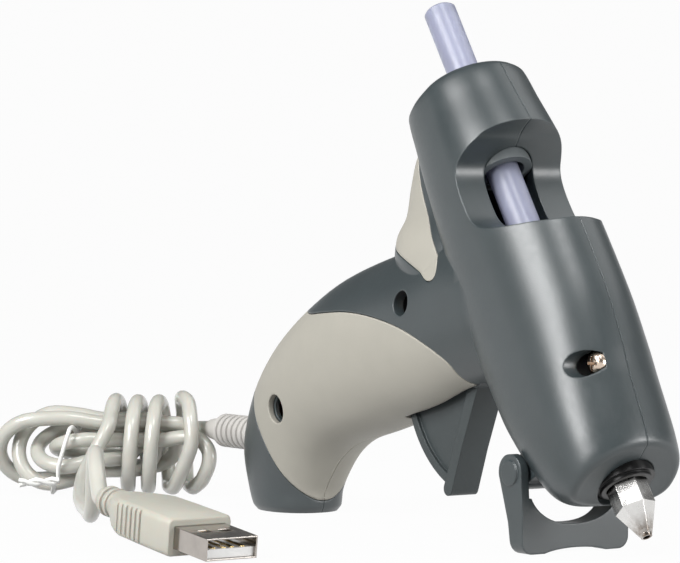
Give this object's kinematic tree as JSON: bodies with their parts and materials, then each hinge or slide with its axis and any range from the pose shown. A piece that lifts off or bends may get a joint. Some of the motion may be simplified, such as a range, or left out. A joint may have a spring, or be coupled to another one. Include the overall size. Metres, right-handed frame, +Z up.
{
  "type": "hot-melt glue gun",
  "caption": "Small hot-melt glue gun with a curved handle, sector trigger and hex nozzle, on a fold-out stand, its cord bundled beside it with a flat plug.",
  "frame": {"origin": "centre of the gun's footprint at table level, as it stands on its handle foot and stand", "axes": "+X towards the nozzle along the gun's plane, +Y to the gun's left, +Z up from the table"},
  "size_m": [0.2061, 0.0903, 0.114],
  "materials": {
    "casing": "fine-grained dark grey-green moulding",
    "skin": "soft-touch warm light grey",
    "plated_steel": "zinc plated",
    "guide": "satin mid grey",
    "glue": "translucent hot-melt stick",
    "black_plastic": "heat-proof black moulding",
    "spring_steel": "bright spring steel",
    "trigger": "dark grey moulding",
    "cast_aluminium": "as cast",
    "silicone": "red-brown silicone",
    "ceramic": "unglazed ceramic heater",
    "brass_strip": "rolled strip",
    "nickel": "nickel plated, darkened tip",
    "lead": "insulated wire",
    "boot": "soft light grey",
    "cord": "light grey sheath",
    "tie": "white coated wire",
    "plug": "cream moulding",
    "plug_steel": "bright tinned steel",
    "plug_insulator": "white insulator",
    "gold_contacts": "gold-flashed contacts"
  },
  "bodies": {
    "case": {"right_shell": "casing", "left_shell": "casing", "right_grip": "skin", "left_grip": "skin", "right_rear_panel": "skin", "left_rear_panel": "skin", "case_screws": "plated_steel", "guide_ring": "guide", "trigger_pin": "plated_steel", "trigger_spring": "spring_steel", "melt_chamber": "cast_aluminium", "inlet_sleeve": "silicone", "heater_plate": "ceramic", "heater_clip": "brass_strip", "nozzle": "nickel", "nozzle_collar": "black_plastic", "stand_pins": "plated_steel", "power_leads": "lead", "strain_relief": "boot", "cord_lead": "cord", "cord_hank": "cord", "cord_tail": "cord", "twist_tie": "tie", "usb_body": "plug", "usb_shell": "plug_steel", "usb_tongue": "plug_insulator", "usb_contacts": "gold_contacts"},
    "trigger": {"trigger": "trigger"},
    "feed": {"feed_carriage": "black_plastic", "feed_clip": "spring_steel"},
    "stick": {"glue_stick": "glue"},
    "stand": {"stand": "casing"}
  },
  "joints": [
    {"name": "trigger_hinge", "type": "hinge", "parent": "case", "child": "trigger", "pos_m": [0.019, 0, 0.0355], "axis": [0, 1, 0], "range_deg": [0, 16], "stiffness_Nm_per_rad": 0.06, "springref_deg": -14.32},
    {"name": "feed_slide", "type": "slide", "parent": "case", "child": "feed", "axis": [0.5548, 0, -0.832], "range_m": [0, 0.0052]},
    {"name": "stick_slide", "type": "slide", "parent": "case", "child": "stick", "axis": [0.5548, 0, -0.832], "range_m": [-0.06, 0.008]},
    {"name": "stand_hinge", "type": "hinge", "parent": "case", "child": "stand", "pos_m": [0.0447, 0, 0.0163], "axis": [0, 1, 0], "range_deg": [0, 110]}
  ],
  "couplings": [
    {"joint": "feed_slide", "follows": "trigger_hinge", "m_per_rad": 0.018}
  ]
}
